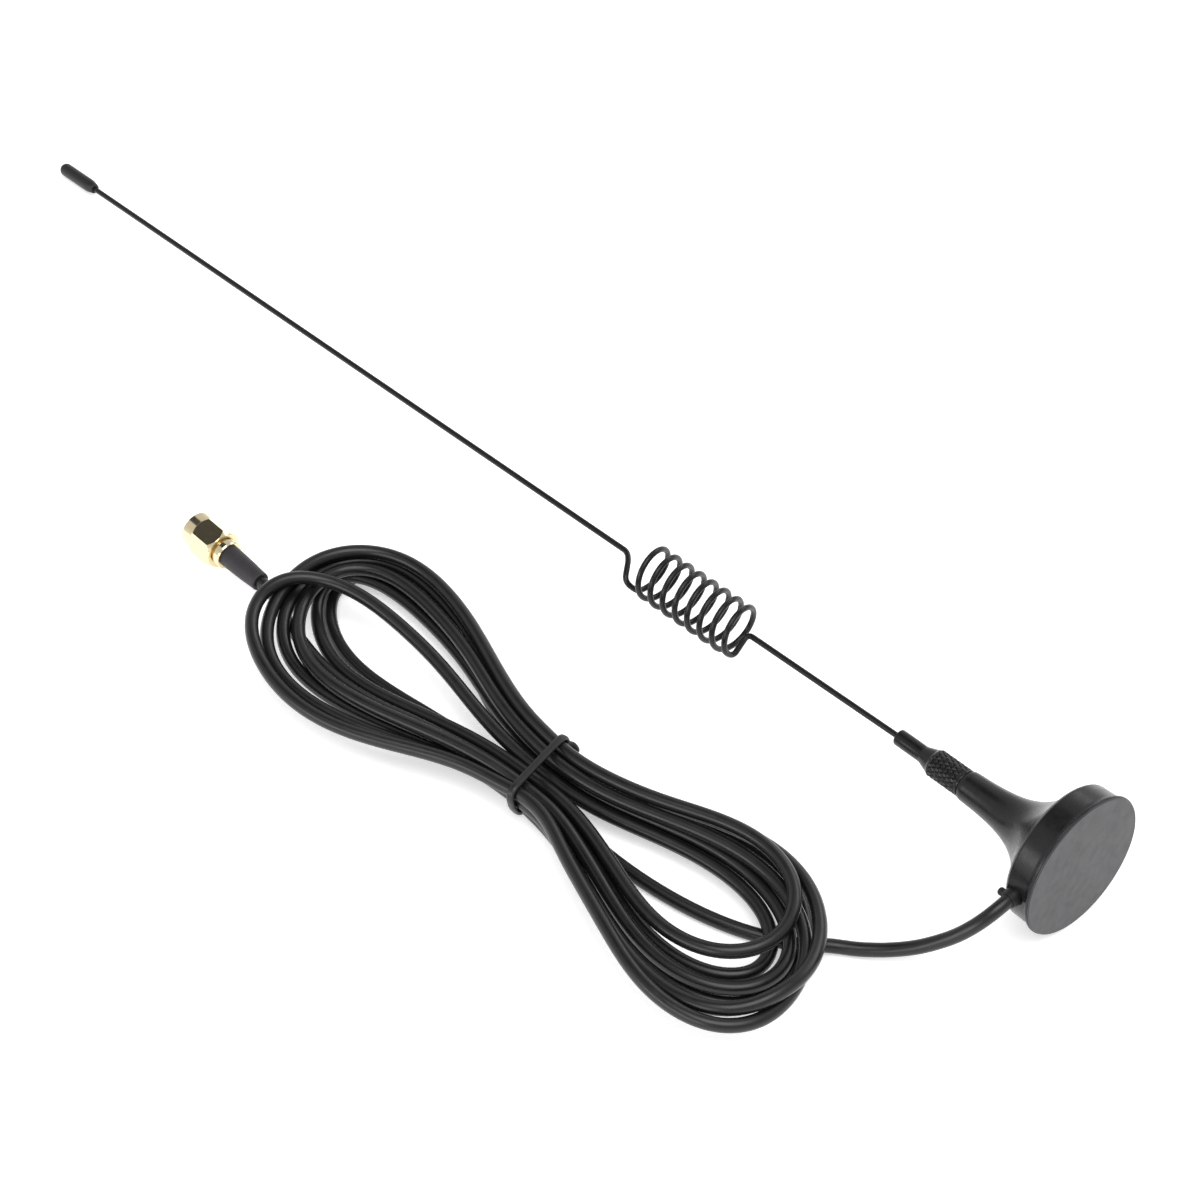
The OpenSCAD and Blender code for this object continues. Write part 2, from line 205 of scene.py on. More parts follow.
# ------------------------------------------------------------------ mesh helpers
def new_object(name, verts, faces, mat, body, sharp=35.0, smooth=True):
    me = bpy.data.meshes.new(name)
    me.from_pydata([tuple(v) for v in verts], [], [tuple(f) for f in faces])
    me.validate()
    bm = bmesh.new()
    bm.from_mesh(me)
    bmesh.ops.remove_doubles(bm, verts=bm.verts, dist=1e-7)
    bmesh.ops.recalc_face_normals(bm, faces=bm.faces)
    for f in bm.faces:
        f.smooth = smooth
    for e in bm.edges:
        if len(e.link_faces) == 2 and e.calc_face_angle(0) > math.radians(sharp):
            e.smooth = False
    bm.to_mesh(me)
    bm.free()
    me.materials.append(mat)
    o = bpy.data.objects.new(name, me)
    scene.collection.objects.link(o)
    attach(o, body)
    return o


def frames_along(p, start):
    d = np.gradient(p, axis=0)
    d /= np.linalg.norm(d, axis=1)[:, None]
    u = np.zeros_like(p)
    v = np.array(start, float)
    for i in range(len(p)):
        v = v - d[i] * np.dot(v, d[i])
        v /= np.linalg.norm(v)
        u[i] = v
    return d, u, np.cross(d, u)


def tube(name, p, r, sides, mat, body, start=(0, 0, 1), caps=True, radii=None, sharp=50):
    """a closed tube along the points p, in mm; radii may give a radius for each point"""
    p = np.asarray(p, float)
    d, u, w = frames_along(p, start)
    n = len(p)
    rr = np.full(n, r) if radii is None else np.asarray(radii)
    ang = np.arange(sides) * 2 * math.pi / sides
    V = (p[:, None, :] + rr[:, None, None] * (np.cos(ang)[None, :, None] * u[:, None, :] + np.sin(ang)[None, :, None] * w[:, None, :])).reshape(-1, 3) * MM
    F = []
    for i in range(n - 1):
        a, b = i * sides, (i + 1) * sides
        for k in range(sides):
            k2 = (k + 1) % sides
            F.append((a + k, a + k2, b + k2, b + k))
    V = [tuple(v) for v in V]
    if caps:
        F.append(tuple(range(sides - 1, -1, -1)))
        F.append(tuple((n - 1) * sides + k for k in range(sides)))
    return new_object(name, V, F, mat, body, sharp=sharp)


# ------------------------------------------------------------------ the lead
CR, CD = 1.4, 2.8
LEAD = [(-4, -11.5, 14.85), (-4, -14, 14.85), (-4, -16.6, 14.8), (-4.3, -19.2, 14.0), (-5.2, -21.7, 12.3), (-6.8, -24, 10),
        (-9, -26.2, 7.6), (-12.8, -29.4, 4.6), (-17.2, -32.9, 2.6), (-21.8, -36.4, 1.6), (-25.8, -39.4, 1.4)]
LEAD_IN = [(-30, -43.6), (-35, -46.8), (-41, -49.8), (-48, -52.1), (-56, -53.8), (-64, -54.9), (-72, -55.2), (-80, -54.8)]
RIGHT = {
    "a": [(-84, -42.2), (-76, -40.5), (-68, -36.8), (-60, -33.3), (-52, -31.7), (-47, -31.9), (-42, -33.6), (-38, -36.4), (-34.8, -40.3), (-32.9, -45), (-33, -49.5), (-35.5, -54), (-39.5, -57), (-45, -59.4), (-51, -60), (-58, -58.9), (-66, -56.6), (-74, -54.5), (-84, -53.3)],
    "b": [(-84, -41.6), (-74, -38.5), (-64, -34.6), (-54, -31.9), (-46, -31), (-39, -32.8), (-32.5, -36.5), (-27.5, -41.3), (-24.2, -47), (-22.9, -53), (-23.3, -60.1), (-26.5, -65.7), (-31.5, -68.7), (-38, -70.7), (-46, -70.6), (-54, -69), (-62, -66.7), (-70, -64.7), (-78, -63.3), (-84, -61.5)],
    "c": [(-84, -44.6), (-74, -41.5), (-64, -38.7), (-54, -36.1), (-46, -35.5), (-39, -37.1), (-32.5, -39.8), (-27, -44.6), (-23.6, -51), (-21.9, -58.3), (-22.6, -64.2), (-26.5, -68.7), (-32.5, -70.6), (-39, -71.3), (-47, -70.6), (-56, -68.3), (-66, -66.7), (-76, -65.1), (-84, -63.3)],
    "d": [(-84, -47), (-74, -44.2), (-64, -41.3), (-54, -39.1), (-46, -38.9), (-38, -41.1), (-31.5, -43.7), (-27, -49), (-26, -54.5), (-28.5, -59.2), (-33, -62.9), (-40, -65.1), (-48, -65.5), (-56, -63.9), (-64, -61.4), (-72, -59.4), (-80, -57.3), (-84, -56.6)],
    "e": [(-84, -49), (-76, -47.6), (-66, -44), (-56, -42.2), (-48, -41.6), (-41, -42.6), (-35, -45.2), (-30.5, -49.3), (-28.9, -53), (-30.5, -57.2), (-35, -60.5), (-41, -62.4), (-48, -63), (-56, -61.8), (-64, -59.3), (-74, -56.8), (-84, -55.2)],
    "f": [(-84, -44), (-74, -40), (-64, -36.6), (-54, -34), (-46, -33.6), (-39, -35.2), (-32.8, -38.5), (-27.8, -43.4), (-25, -49.4), (-24, -55.5), (-24.8, -61.4), (-28.5, -65.3), (-34, -67.4), (-40, -68.1), (-47, -67.7), (-56, -65.9), (-66, -63.8), (-76, -62.3), (-84, -60.1)],
}
LEFT = {
    "a": [(-103.8, -62), (-110, -64.3), (-116.3, -66.6), (-122.5, -69.7), (-131.9, -72.5), (-141.3, -73.2), (-147.5, -72), (-153.6, -70.3), (-159.4, -67.2), (-164.3, -64.6), (-166.8, -60.9), (-167.9, -56.5), (-168.2, -53.3), (-166.6, -50.1), (-163.9, -48), (-161.1, -46.2), (-156.5, -44.6), (-150.6, -43.7), (-141.3, -44.1), (-131.9, -44.1), (-122.5, -45.8), (-113.1, -47.9), (-103.8, -49)],
    "1": [(-103, -59.6), (-110, -62.3), (-118, -65.4), (-127, -68.4), (-137, -70.4), (-147, -70.4), (-154.2, -67.9), (-159.5, -63.9), (-163.5, -58.7), (-165.7, -53), (-167.4, -48.1), (-167.8, -45.3), (-166.4, -40.3), (-163.8, -35.2), (-158.9, -31.5), (-152.8, -29.5), (-145, -30.2), (-135, -31.6), (-125, -35), (-115, -38.5), (-107, -40.3), (-100, -41.3)],
    "2": [(-103, -58.2), (-112, -60.6), (-121, -63.3), (-130, -65.8), (-140, -67.2), (-150, -66.5), (-156.3, -62.8), (-160.8, -57.5), (-163.6, -52), (-165.1, -47), (-165.1, -42.9), (-163, -37.1), (-158.1, -33.6), (-151.9, -32), (-143, -32.9), (-133, -34.6), (-123, -38), (-113, -41), (-104, -42.6)],
    "3": [(-103, -56), (-112, -57.6), (-122, -60.5), (-132, -63), (-142, -64), (-151, -62.3), (-156.7, -58.2), (-160.3, -53.5), (-163.3, -48.3), (-164.8, -44.8), (-163.3, -40.4), (-159.3, -36.1), (-152.9, -34.8), (-144, -35.4), (-134, -36.5), (-124, -38.4), (-114, -42.3), (-104, -44)],
    "4": [(-103, -53), (-112, -54.5), (-122, -57), (-132, -59.5), (-142, -60.5), (-149, -58.5), (-155.4, -54.5), (-160.4, -50), (-163.5, -46.8), (-164.2, -43.9), (-160.9, -40.1), (-153.2, -38.3), (-144, -38.4), (-134, -39.2), (-124, -40.7), (-114, -44.2), (-104, -46)],
    "5": [(-103, -54.5), (-112, -55), (-122, -56.2), (-132, -57.6), (-141, -57.8), (-148, -56.2), (-154, -53), (-158.5, -49), (-161.3, -45.6), (-162, -42), (-160.3, -38.6), (-154, -36.4), (-144, -36), (-134, -37.6), (-124, -40.2), (-114, -44.6), (-104, -47.6)],
}
TAIL_IN = [(-103, -56.8), (-112, -59), (-122, -61.6), (-132, -63.4), (-142, -63.4), (-151, -61.8), (-158, -60.2)]
TAIL = [(-166.5, -59.8, 3.9), (-169, -59.94, 4.5), (-171.5, -59.94, 4.55), (-173.55, -59.94, 4.55)]
ORDER = [("L", "5", 0.3), ("R", "f", 1), ("L", "2", 1), ("R", "b", 2), ("L", "1", 2), ("R", "a", 6.5), ("L", "4", 2.5), ("R", "d", 3), ("L", "3", 3.5), ("R", "c", 1.2), ("L", "a", 6.5), ("R", "e", 3.5)]
LAYER = 2.4


def plan(pts):
    return [(x - 0.0188 * y, y + 0.0188 * x) for x, y in pts]


def catmull(P, n=12):
    P = np.asarray(P, float)
    Q = np.vstack([2 * P[0] - P[1], P, 2 * P[-1] - P[-2]])
    out = []
    for i in range(1, len(Q) - 2):
        p0, p1, p2, p3 = Q[i - 1:i + 3]
        t = np.linspace(0, 1, n, endpoint=False)[:, None]
        out.append(0.5 * ((2 * p1) + (-p0 + p2) * t + (2 * p0 - 5 * p1 + 4 * p2 - p3) * t ** 2 + (-p0 + 3 * p1 - 3 * p2 + p3) * t ** 3))
    return np.vstack(out + [P[-1:]])


def resample(P, ds):
    s = np.r_[0, np.cumsum(np.linalg.norm(np.diff(P[:, :3], axis=0), axis=1))]
    n = max(2, int(round(s[-1] / ds)))
    t = np.linspace(0, s[-1], n + 1)
    return np.stack([np.interp(t, s, P[:, k]) for k in range(P.shape[1])], 1)


SLANT = np.array([0.749, -0.680])


def lead_route():
    """the drawn route: x, y, z, and whether the point is drawn on the slant"""
    pts = [(x, y, z, 0) for x, y, z in LEAD]
    pts += [(x, y, CR, 1) for x, y in plan(LEAD_IN)]
    for side, k, lv in ORDER:
        pts += [(x, y, CR + LAYER * lv, 1) for x, y in plan((LEFT if side == "L" else RIGHT)[k])]
    pts += [(x, y, CR, 1) for x, y in plan(TAIL_IN)]
    pts += [(x, y, z, 0) for x, y, z in TAIL]
    return catmull(pts)


def closest(p1, q1, p2, q2):
    d1 = q1 - p1; d2 = q2 - p2; r = p1 - p2
    a = (d1 * d1).sum(1); e = (d2 * d2).sum(1); f = (d2 * r).sum(1); c = (d1 * r).sum(1); b = (d1 * d2).sum(1)
    den = a * e - b * b
    s = np.where(den > 1e-9, np.clip((b * f - c * e) / np.maximum(den, 1e-9), 0, 1), 0.5)
    t = np.clip((b * s + f) / e, 0, 1)
    s = np.clip((b * t - c) / a, 0, 1)
    return s, t


TIE_AT = np.array([-90.7, -52.8])                 # middle of the tied waist
TIE_U = np.array([-0.233, 0.9725])                # across the strands
TIE_N = np.array([0.9725, 0.233])                 # along them
TIE_HALF = 9.6                                    # half the width of the tied bundle
TIE_UNDER = 0.75                                  # the tie's own thickness, under the strands


def settle(route, steps=900, hold=0.2):
    """lets the drawn route settle on the floor under its own weight, as a chain of fixed length whose turns push each other apart; where many are squeezed together they still overlap, by up to half a millimetre"""
    N = len(route)
    slant = np.clip(route[:, 3:4], 0, 1)
    tgt = route[:, :3].copy()
    x = tgt.copy()
    x[:, :2] += slant * (x[:, 2:3] - 4.0) * SLANT
    L0 = np.linalg.norm(np.diff(x, axis=0), axis=1).mean()
    v = np.zeros_like(x)
    free = np.where(slant[:, 0] > 0.02)[0]
    w = np.zeros(N)
    w[free[0]:free[-1] + 1] = 1
    fixed = w == 0
    gap = int(math.ceil(1.7 * CD / L0))
    I = J = None
    for it in range(steps):
        if it % 6 == 0:
            m = (x[:-1] + x[1:]) / 2
            o = np.argsort(m[:, 0], kind="stable")
            xs = m[o, 0]
            reach = CD + L0 + 1.2
            cnt = np.searchsorted(xs, xs + reach, side="right") - np.arange(len(xs)) - 1
            I = np.repeat(np.arange(len(xs)), cnt)
            J = I + 1 + np.arange(cnt.sum()) - np.repeat(np.cumsum(cnt) - cnt, cnt)
            I = o[I]; J = o[J]
            k = (np.abs(I - J) > gap) & (np.abs(m[I, 1] - m[J, 1]) < reach) & (np.abs(m[I, 2] - m[J, 2]) < reach)
            I = I[k]; J = J[k]
        ramp = min(1.0, it / (0.5 * steps))
        v *= 0.85
        v[:, 2] -= 0.02 * w
        xn = x + v * w[:, None]
        # the turns are drawn as their outlines fall on a level 4 mm up, seen at a slant
        aim = tgt[:, :2] + slant * (xn[:, 2:3] - 4.0) * SLANT
        xn[:, :2] += hold * (1 - 0.7 * ramp) * (aim - xn[:, :2]) * w[:, None]
        for sub in range(3):
            for k, st in ((3, 0.20), (6, 0.10)):
                c = np.zeros_like(xn)
                c[k:-k] = (xn[:-2 * k] + xn[2 * k:]) / 2 - xn[k:-k]
                c[k:-k, :2] -= ((tgt[:-2 * k] + tgt[2 * k:]) / 2 - tgt[k:-k])[:, :2]
                xn += st * c * w[:, None]
            c = np.zeros_like(xn)
            c[1:-1] = (xn[:-2] + xn[2:]) / 2 - xn[1:-1]
            c[1:-1, :2] -= ((tgt[:-2] + tgt[2:]) / 2 - tgt[1:-1])[:, :2]
            xn += 0.30 * c * w[:, None]
            P1 = xn[I]; Q1 = xn[I + 1]; P2 = xn[J]; Q2 = xn[J + 1]
            s, t = closest(P1, Q1, P2, Q2)
            d = P1 + (Q1 - P1) * s[:, None] - P2 - (Q2 - P2) * t[:, None]
            l = np.linalg.norm(d, axis=1)
            hit = l < CD
            if hit.any():
                n = d[hit] / np.maximum(l[hit], 1e-6)[:, None]
                pen = CD - l[hit]; sh = s[hit]; th = t[hit]; ih = I[hit]; jh = J[hit]
                up = 0.5 + 0.45 * n[:, 2]          # the upper one gives way
                C = np.zeros_like(xn); cn = np.zeros(N)
                for idx, wt, g in ((ih, 1 - sh, up), (ih + 1, sh, up), (jh, 1 - th, up - 1), (jh + 1, th, up - 1)):
                    np.add.at(C, idx, (g * pen * wt)[:, None] * n)
                    np.add.at(cn, idx, wt)
                xn += C / np.maximum(1, cn * 0.6)[:, None] * w[:, None] * 1.4
            # the tie squeezes the waist
            q = xn[:, :2] - TIE_AT
            along = q @ TIE_N
            across = q @ TIE_U
            near = np.exp(-(along / 8.0) ** 2) * w
            over = across - np.clip(across, -(TIE_HALF - CR), TIE_HALF - CR)
            xn[:, :2] -= (0.7 * near * over)[:, None] * TIE_U
            top = CR + TIE_UNDER + 2.45
            xn[:, 2] -= 0.08 * near * np.maximum(0, xn[:, 2] - top) * ramp
            xn[:, 2] = np.where(fixed, xn[:, 2], np.maximum(xn[:, 2], CR + TIE_UNDER * np.exp(-(along / 3.0) ** 4) * (np.abs(across) < 14)))
            for par in (0, 1):
                a0 = xn[par:-1:2]; b0 = xn[par + 1::2]; q = min(len(a0), len(b0)); a0 = a0[:q]; b0 = b0[:q]
                dd = b0 - a0; ll = np.linalg.norm(dd, axis=1)
                wa = w[par:-1:2][:q]; wb = w[par + 1::2][:q]; ws = np.maximum(wa + wb, 1e-9)
                corr = ((ll - L0) / ll)[:, None] * dd
                xn[par:-1:2][:q] += corr * (wa / ws)[:, None]
                xn[par + 1::2][:q] -= corr * (wb / ws)[:, None]
        v = xn - x
        sp = np.linalg.norm(v, axis=1)
        v *= np.minimum(1, 0.25 / np.maximum(sp, 1e-9))[:, None]
        x = xn
    for k in range(5):                             # the jacket's stiffness takes out the last ripples
        y = x.copy()
        y[1:-1] = 0.25 * x[:-2] + 0.5 * x[1:-1] + 0.25 * x[2:]
        y[1:-1, :2] -= (0.25 * tgt[:-2] - 0.5 * tgt[1:-1] + 0.25 * tgt[2:])[:, :2]
        x = x + (y - x) * w[:, None]
    return x


def smooth_curve(x, per=3):
    """even points of a smooth line through x"""
    n = len(x)
    return catmull(x, per)


def fair(r, sigma=4.0):
    """takes the short waves out of the drawn turns and leaves their long curves alone"""
    k = np.exp(-0.5 * (np.arange(-14, 15) / sigma) ** 2)
    k /= k.sum()
    blur = lambda c: np.convolve(np.pad(c, 14, mode="edge"), k, "valid")
    out = r.copy()
    w = np.clip(blur(np.clip(r[:, 3], 0, 1)) * 2 - 1, 0, 1)
    for j in range(3):
        g = blur(r[:, j])
        out[:, j] += w * (2 * g - blur(g) - r[:, j])
    return out


rope = settle(resample(fair(resample(lead_route(), 2.4)), 2.4))
rope = rope + np.array([BX, BY, 0.0])
line = smooth_curve(rope, 3)
line[:, 2] = np.maximum(line[:, 2], CR)
lead = tube("lead_cable", line, CR, 20, M["cable"], "base_and_lead", start=(0, 0, 1))
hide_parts("cable_lead", "cable_hank", "cable_tail")


# ------------------------------------------------------------------ the tie round the waist
def hull2d(P):
    P = P[np.lexsort((P[:, 1], P[:, 0]))]

    def half(Q):
        H = []
        for p in Q:
            while len(H) >= 2 and (H[-1][0] - H[-2][0]) * (p[1] - H[-2][1]) - (H[-1][1] - H[-2][1]) * (p[0] - H[-2][0]) <= 0:
                H.pop()
            H.append(p)
        return H[:-1]
    return np.array(half(list(P)) + half(list(P[::-1])))


tie_o = TIE_AT + np.array([BX, BY])
skin = np.array([v.co for v in lead.data.vertices]) / MM
q = skin[:, :2] - tie_o
slab = (np.abs(q @ TIE_N) < 0.9) & (np.abs(q @ TIE_U) < 14)
outline = hull2d(np.stack([q[slab] @ TIE_U, skin[slab, 2]], 1))
TIE_T, TIE_W = 0.48, 0.82                          # half thickness and half width of the band
# walk round the bundle at a small distance, evenly
ang = np.linspace(0, 2 * math.pi, 361)[:-1]
nrm = np.stack([np.cos(ang), np.sin(ang)], 1)
sup = (outline @ nrm.T).max(0) + TIE_T + 0.02
pts = []
for i in range(360):                               # corners of the support lines
    a, b = nrm[i], nrm[(i + 1) % 360]
    M2 = np.array([a, b])
    pts.append(np.linalg.solve(M2, np.array([sup[i], sup[(i + 1) % 360]])))
band = np.array(pts)
band = np.vstack([band, band[:1]])
band = resample(np.c_[band, np.zeros(len(band))], 0.35)[:-1, :2]
for k in range(6):
    band = 0.25 * np.roll(band, 1, 0) + 0.5 * band + 0.25 * np.roll(band, -1, 0)
band[:, 1] = np.maximum(band[:, 1], TIE_T)


def tie_point(a, z, n=0.0):
    e = tie_o + a * TIE_U + n * TIE_N
    return np.array([e[0], e[1], z])


def loop_band(name, P, T, W, mat, body, sides=16):
    """a closed band of oval section round the loop P of (across, height) points"""
    n = len(P)
    d = np.roll(P, -1, 0) - np.roll(P, 1, 0)
    d /= np.linalg.norm(d, axis=1)[:, None]
    out = np.stack([d[:, 1], -d[:, 0]], 1)
    V, F = [], []
    for i in range(n):
        for k in range(sides):
            t = 2 * math.pi * k / sides
            c, sn = math.cos(t), math.sin(t)
            c = math.copysign(abs(c) ** 0.8, c); sn = math.copysign(abs(sn) ** 0.8, sn)
            e = P[i] + out[i] * T * c
            V.append(tie_point(e[0], e[1], W * sn) * MM)
    for i in range(n):
        j = (i + 1) % n
        for k in range(sides):
            k2 = (k + 1) % sides
            F.append((i * sides + k, i * sides + k2, j * sides + k2, j * sides + k))
    return new_object(name, V, F, mat, body, sharp=60)


tie = loop_band("cable_tie_band", band, TIE_T, TIE_W, M["tie"], "base_and_lead")
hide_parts("cable_tie")
# its two ends, twisted together at the far side of the bundle and pressed down
top_i = int(np.argmax(band[:, 0]))
e0 = band[top_i]
knot = [tie_point(e0[0] - 2.0, e0[1] + 1.75, 0.1), tie_point(e0[0] - 0.9, e0[1] + 1.75, 0.5), tie_point(e0[0] - 0.1, e0[1] + 1.2, 1.1),
        tie_point(e0[0] + 0.25, e0[1] + 0.4, 1.7), tie_point(e0[0] + 0.2, e0[1] - 0.4, 2.1)]
knot_line = catmull(knot, 8)
tie_end = tube("cable_tie_end", knot_line, 0.72, 14, M["tie"], "base_and_lead", radii=0.72 * np.minimum(1, np.sin(np.linspace(0.45, math.pi - 0.45, len(knot_line))) ** 0.4))


# ------------------------------------------------------------------ the whip: wire and coil
WIRE_R, COIL_R, PITCH, COIL_S, BEND_S, TIP_S = 0.625, 5.3, 3.52, 87.8, 121.4, 319.5
TURNS, PHASE, C_LEAN, NEAR, LEAN, OFF = 8, 217.5, 0.4, 153.0, 0.0204, -0.7
CAP_S0 = TIP_S - 13.1


def drift(z):
    return 0.0 if z < 47 else -LEAN * (z - 47)


def helix(t):
    ph = PHASE + 360 * TURNS * t
    z = COIL_S + PITCH * TURNS * (1 - t) - C_LEAN * math.cos(math.radians(ph - NEAR))
    return np.array([COIL_R * math.sin(math.radians(ph)), drift(z) + OFF + COIL_R * math.cos(math.radians(ph)), z])


def bez(a, b, c, n):
    t = np.linspace(0, 1, n + 1)[:, None]
    return a * (1 - t) ** 2 + b * 2 * t * (1 - t) + c * t * t


def straight(a, b, n):
    t = np.linspace(0, 1, n + 1)[:-1, None]
    return a * (1 - t) + b * t


h0, h1 = helix(0), helix(1)
k0 = h0 + np.array([0.9, -0.7, 1.3])
k1 = h1 + np.array([-0.9, 0.7, -0.15])
b0 = np.array([0, drift(BEND_S), BEND_S])
b1 = np.array([0, drift(COIL_S - 0.6), COIL_S - 0.6])
on = lambda z: np.array([0, drift(z), z])
mix = lambda a, b, t: a * (1 - t) + b * t
per = 56
wire = np.vstack([
    straight(on(CAP_S0 + 6.3), on(BEND_S + 1.6), 60),
    bez(on(BEND_S + 1.6), b0, mix(b0, k0, 0.35), 12),
    bez(mix(b0, k0, 0.70), k0, helix(0.008), 12),
    np.array([helix(0.008 + 0.984 * i / (TURNS * per)) for i in range(1, TURNS * per)]),
    bez(helix(0.992), k1, mix(k1, b1, 0.3), 12),
    bez(mix(k1, b1, 0.75), b1, on(COIL_S - 2), 12),
    straight(on(COIL_S - 2.6), on(47.5), 14),
    np.array([on(46.8), [0, 0, 46.0], [0, 0, 42.0], [0, 0, 38.1]])])
wire_w = np.array([A(*q) for q in wire])
whip = tube("whip_wire_round", wire_w, WIRE_R, 20, M["whip"], "whip", start=(0, 1, 0))
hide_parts("whip_wire")


# ------------------------------------------------------------------ turned pieces
def turned(name, prof, mat, body, frame_fn, seg=160, shape=None, sharp=32):
    """a closed turned piece; prof is a loop of (r, s) points that starts and ends on the axis or closes on itself.
    shape(theta, r, s) may change a radius"""
    V, F = [], []
    closed = not (prof[0][0] < 1e-9 and prof[-1][0] < 1e-9)
    idx = []
    for i, (r, z) in enumerate(prof):
        if r < 1e-9:
            idx.append([len(V)])
            V.append(np.array(frame_fn(0, 0, z)) * MM)
        else:
            row = []
            for k in range(seg):
                th = 2 * math.pi * k / seg
                rr = shape(th, r, z, i) if shape else r
                row.append(len(V))
                V.append(np.array(frame_fn(rr * math.cos(th), rr * math.sin(th), z)) * MM)
            idx.append(row)
    n = len(prof)
    for i in range(n if closed else n - 1):
        a, b = idx[i], idx[(i + 1) % n]
        if len(a) == 1 and len(b) == 1:
            continue
        for k in range(seg):
            k2 = (k + 1) % seg
            if len(a) == 1:
                F.append((a[0], b[k2], b[k]))
            elif len(b) == 1:
                F.append((a[k], a[k2], b[0]))
            else:
                F.append((a[k], a[k2], b[k2], b[k]))
    return new_object(name, V, F, mat, body, sharp=sharp)


def ease(a, b, n=4, power=1.0):
    """n points from a to b on a quarter round"""
    out = []
    for i in range(n + 1):
        t = i / n * math.pi / 2
        out.append((a[0] + (b[0] - a[0]) * (1 - math.cos(t)), a[1] + (b[1] - a[1]) * math.sin(t)))
    return out


G0, G1, CONE, TUBE, TUBE_R, GRIP_R = 29.15, 36.9, 40.0, 46.6, 1.72, 2.9
K_N, K_AX, K_D = 18, 1.9, 0.24                     # starts, axial pitch and depth of the diamond knurl
tri = lambda u: abs(((u % 1.0) * 2) - 1)


def knurl(th, r, z, i):
    if i < KNURL_A or i > KNURL_B:
        return r
    u = K_N * th / (2 * math.pi)
    v = (z - G0) / K_AX
    g = min(tri(u + v), tri(u - v))                # grooves where either family of lines runs
    g = min(1.0, g * 1.9)
    edge = min(1.0, (z - KZ0) / 0.35, (KZ1 - z) / 0.35)
    return r - K_D * (1 - g) * max(0.0, edge)


KZ0, KZ1 = G0 + 0.35, G1 - 0.1
prof = [(0, 34.9), (1.55, 34.9), (1.55, G0), (GRIP_R - 0.22, G0), (GRIP_R - 0.06, G0 + 0.08), (GRIP_R, G0 + 0.24)]
KNURL_A = len(prof)
prof += [(GRIP_R, KZ0 + (KZ1 - KZ0) * i / 84) for i in range(85)]
KNURL_B = len(prof) - 1
prof += [(GRIP_R - 0.06, G1), (GRIP_R - 0.2, G1 + 0.12)]
prof += [(GRIP_R - 0.2 + (TUBE_R + 0.1 - GRIP_R + 0.2) * i / 6, G1 + 0.12 + (CONE - 0.3 - G1 - 0.12) * i / 6) for i in range(1, 7)]
prof += [(TUBE_R + 0.03, CONE - 0.08), (TUBE_R, CONE + 0.15), (TUBE_R, 42.2), (TUBE_R, 44.4), (TUBE_R, TUBE - 0.42), (TUBE_R - 0.05, TUBE - 0.22), (TUBE_R - 0.17, TUBE - 0.07), (TUBE_R - 0.36, TUBE),
         (0.72, TUBE), (0.645, TUBE - 0.08), (0.645, 38.0), (0, 38.0)]
ferrule = turned("whip_ferrule_knurled", prof, M["ferrule"], "whip", A, seg=18 * 14, shape=knurl, sharp=40)
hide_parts("whip_ferrule")

# the moulded cap, turned finely
CAP_R, CAP_LEN = 1.56, TIP_S - CAP_S0
prof = [(0, 6.6), (0.645, 6.6), (0.645, 0.04), (0.70, 0), (0.95, 0), (1.07, 0.05), (1.15, 0.17), (1.28, 0.75), (1.40, 1.3), (1.47, 1.62), (1.52, 1.9), (1.55, 2.25), (CAP_R, 2.7)]
prof += [(CAP_R, 2.7 + (CAP_LEN - CAP_R - 2.7) * i / 6) for i in range(1, 7)]
prof += [(CAP_R * math.cos(t), CAP_LEN - CAP_R + CAP_R * math.sin(t)) for t in np.linspace(0, math.pi / 2, 15)[1:-1]] + [(0, CAP_LEN)]
ct, st = math.cos(math.atan(LEAN)), math.sin(math.atan(LEAN))
cap = turned("tip_cap_turned", prof, M["cap"], "whip", lambda u, v, w: A(u, drift(CAP_S0) + v * ct - w * st, CAP_S0 + v * st + w * ct), seg=96, sharp=50)
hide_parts("tip_cap")

# the moulded base, turned finely, with the hole for the lead cut through its side
PAD_T, BASE_R, SIDE_R, SIDE_H, NECK_R, NECK_H, LIP, STUD = 0.4, 15, 14.3, 6.3, 3.1, 28.9, 0.8, 1.5
FL = SIDE_H + 0.4
prof = [(12.8, PAD_T), (14.86, PAD_T), (14.97, PAD_T + 0.06), (BASE_R, PAD_T + 0.16), (BASE_R, LIP - 0.05), (BASE_R - 0.03, LIP + 0.03), (BASE_R - 0.12, LIP + 0.1),
        (SIDE_R + 0.2, LIP + 0.18), (SIDE_R + 0.12, LIP + 0.3)]
prof += [(SIDE_R + 0.12 * (1 - i / 6), LIP + 0.3 + (SIDE_H - 0.75 - LIP - 0.3) * i / 6) for i in range(1, 7)]
prof += [(SIDE_R - 0.6 + 0.6 * math.cos(t), SIDE_H - 0.6 + 0.6 * math.sin(t)) for t in np.linspace(0.2, 1.45, 7)]
prof += [(NECK_R - 0.1 + (SIDE_R - 0.8 - NECK_R) * math.exp(-(z - FL) / 5.2), z) for z in np.linspace(FL - 0.1, NECK_H - 0.7, 72)]
prof += [(NECK_R - 0.03, NECK_H - 0.3), (NECK_R - 0.08, NECK_H - 0.12), (NECK_R - 0.2, NECK_H - 0.02), (NECK_R - 0.34, NECK_H), (STUD, NECK_H),
         (STUD, 14), (2.2, 14), (2.2, 9), (1.1, 9), (1.1, 8), (3.6, 8), (4.2, 5.8), (12.8, 5.8)]
base = turned("base_housing_turned", prof, M["base"], "base_and_lead", A, seg=288, sharp=34)
cut = turned("base_hole", [(0, 11), (1.85, 11), (1.85, 20), (0, 20)], M["base"], "base_and_lead", lambda u, v, w: A(u, -w, 4.0 + v), seg=64, sharp=34)
mod = base.modifiers.new("hole", "BOOLEAN")
mod.operation = "DIFFERENCE"
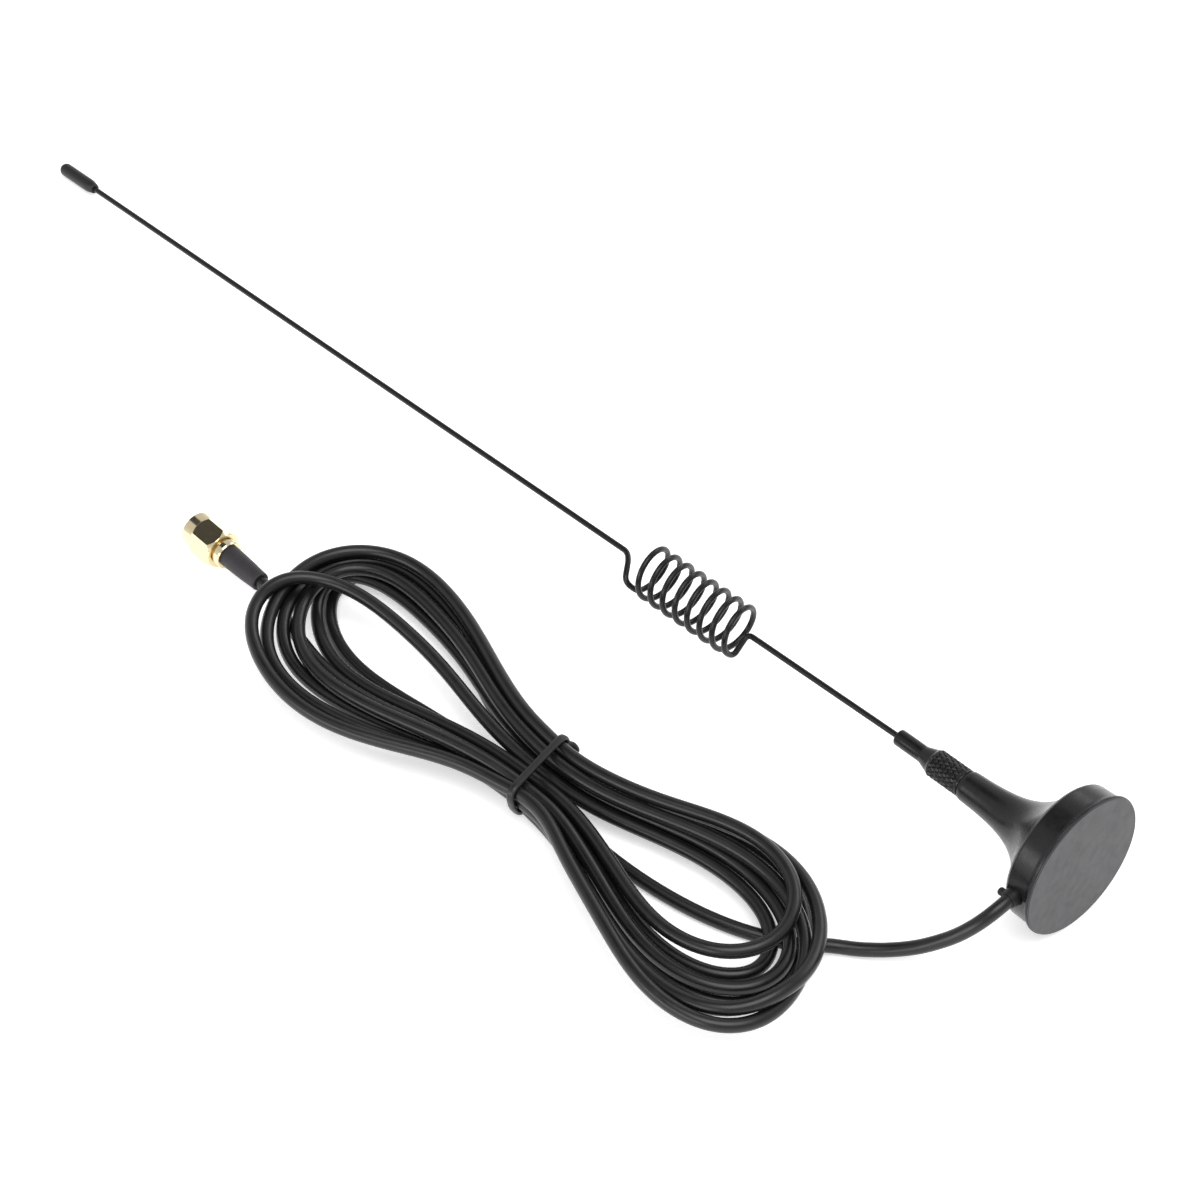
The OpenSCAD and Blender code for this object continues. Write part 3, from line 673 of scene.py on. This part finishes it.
mod.solver = "EXACT"
mod.object = cut
bpy.context.view_layer.update()
cut_mesh = bpy.data.meshes.new_from_object(base.evaluated_get(bpy.context.evaluated_depsgraph_get()))
base.modifiers.clear()
base.data = cut_mesh
bpy.data.objects.remove(cut, do_unlink=True)
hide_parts("base_housing")


# ------------------------------------------------------------------ floor and light
fl = bpy.data.meshes.new("floor")
fl.from_pydata([(-3, -3, 0), (3, -3, 0), (3, 3, 0), (-3, 3, 0)], [], [(0, 1, 2, 3)])
fl.materials.append(M["floor"])
floor = bpy.data.objects.new("floor", fl)
scene.collection.objects.link(floor)

# a studio: bright low down, dim above, with a dark flag that gives the metal something to reflect
world = bpy.data.worlds.new("world")
scene.world = world
world.use_nodes = True
wn = world.node_tree
bg = wn.nodes["Background"]
bg.inputs["Strength"].default_value = 1.0
wt = wn.nodes.new("ShaderNodeTexCoord")
sep = wn.nodes.new("ShaderNodeSeparateXYZ")
wn.links.new(wt.outputs["Generated"], sep.inputs["Vector"])
ramp = wn.nodes.new("ShaderNodeValToRGB")
ramp.color_ramp.interpolation = "EASE"
ramp.color_ramp.elements[0].position = 0.0
ramp.color_ramp.elements[0].color = (0.92, 0.92, 0.92, 1)
ramp.color_ramp.elements[1].position = 0.55
ramp.color_ramp.elements[1].color = (0.72, 0.72, 0.72, 1)
wn.links.new(sep.outputs["Z"], ramp.inputs["Fac"])
dot = wn.nodes.new("ShaderNodeVectorMath")
dot.operation = "DOT_PRODUCT"
wn.links.new(wt.outputs["Generated"], dot.inputs[0])
dot.inputs[1].default_value = (-0.526, 0.004, 0.850)
flag = wn.nodes.new("ShaderNodeMapRange")
flag.interpolation_type = "SMOOTHSTEP"
flag.inputs["From Min"].default_value = 0.935
flag.inputs["From Max"].default_value = 0.965
flag.inputs["To Min"].default_value = 1.0
flag.inputs["To Max"].default_value = 0.10
wn.links.new(dot.outputs["Value"], flag.inputs["Value"])
mul = wn.nodes.new("ShaderNodeVectorMath")
mul.operation = "SCALE"
wn.links.new(ramp.outputs["Color"], mul.inputs[0])
wn.links.new(flag.outputs["Result"], mul.inputs["Scale"])
wn.links.new(mul.outputs["Vector"], bg.inputs["Color"])


def area(name, loc, target, size, power, size_y=None):
    d = bpy.data.lights.new(name, "AREA")
    d.energy = power
    d.size = size
    if size_y:
        d.shape = "RECTANGLE"
        d.size_y = size_y
    o = bpy.data.objects.new(name, d)
    o.location = loc
    o.rotation_euler = (Vector(target) - Vector(loc)).to_track_quat("-Z", "Y").to_euler()
    scene.collection.objects.link(o)
    return o


area("top", (0.40, -0.25, 1.35), (0, 0, 0), 1.0, 12)
area("front", (0.0, -1.25, 0.42), (0, 0, 0.0), 1.3, 7, size_y=0.45)
area("back", (0.0, 1.3, 0.9), (0, 0, 0.0), 1.4, 5, size_y=0.5)
scene.view_settings.view_transform = "Standard"
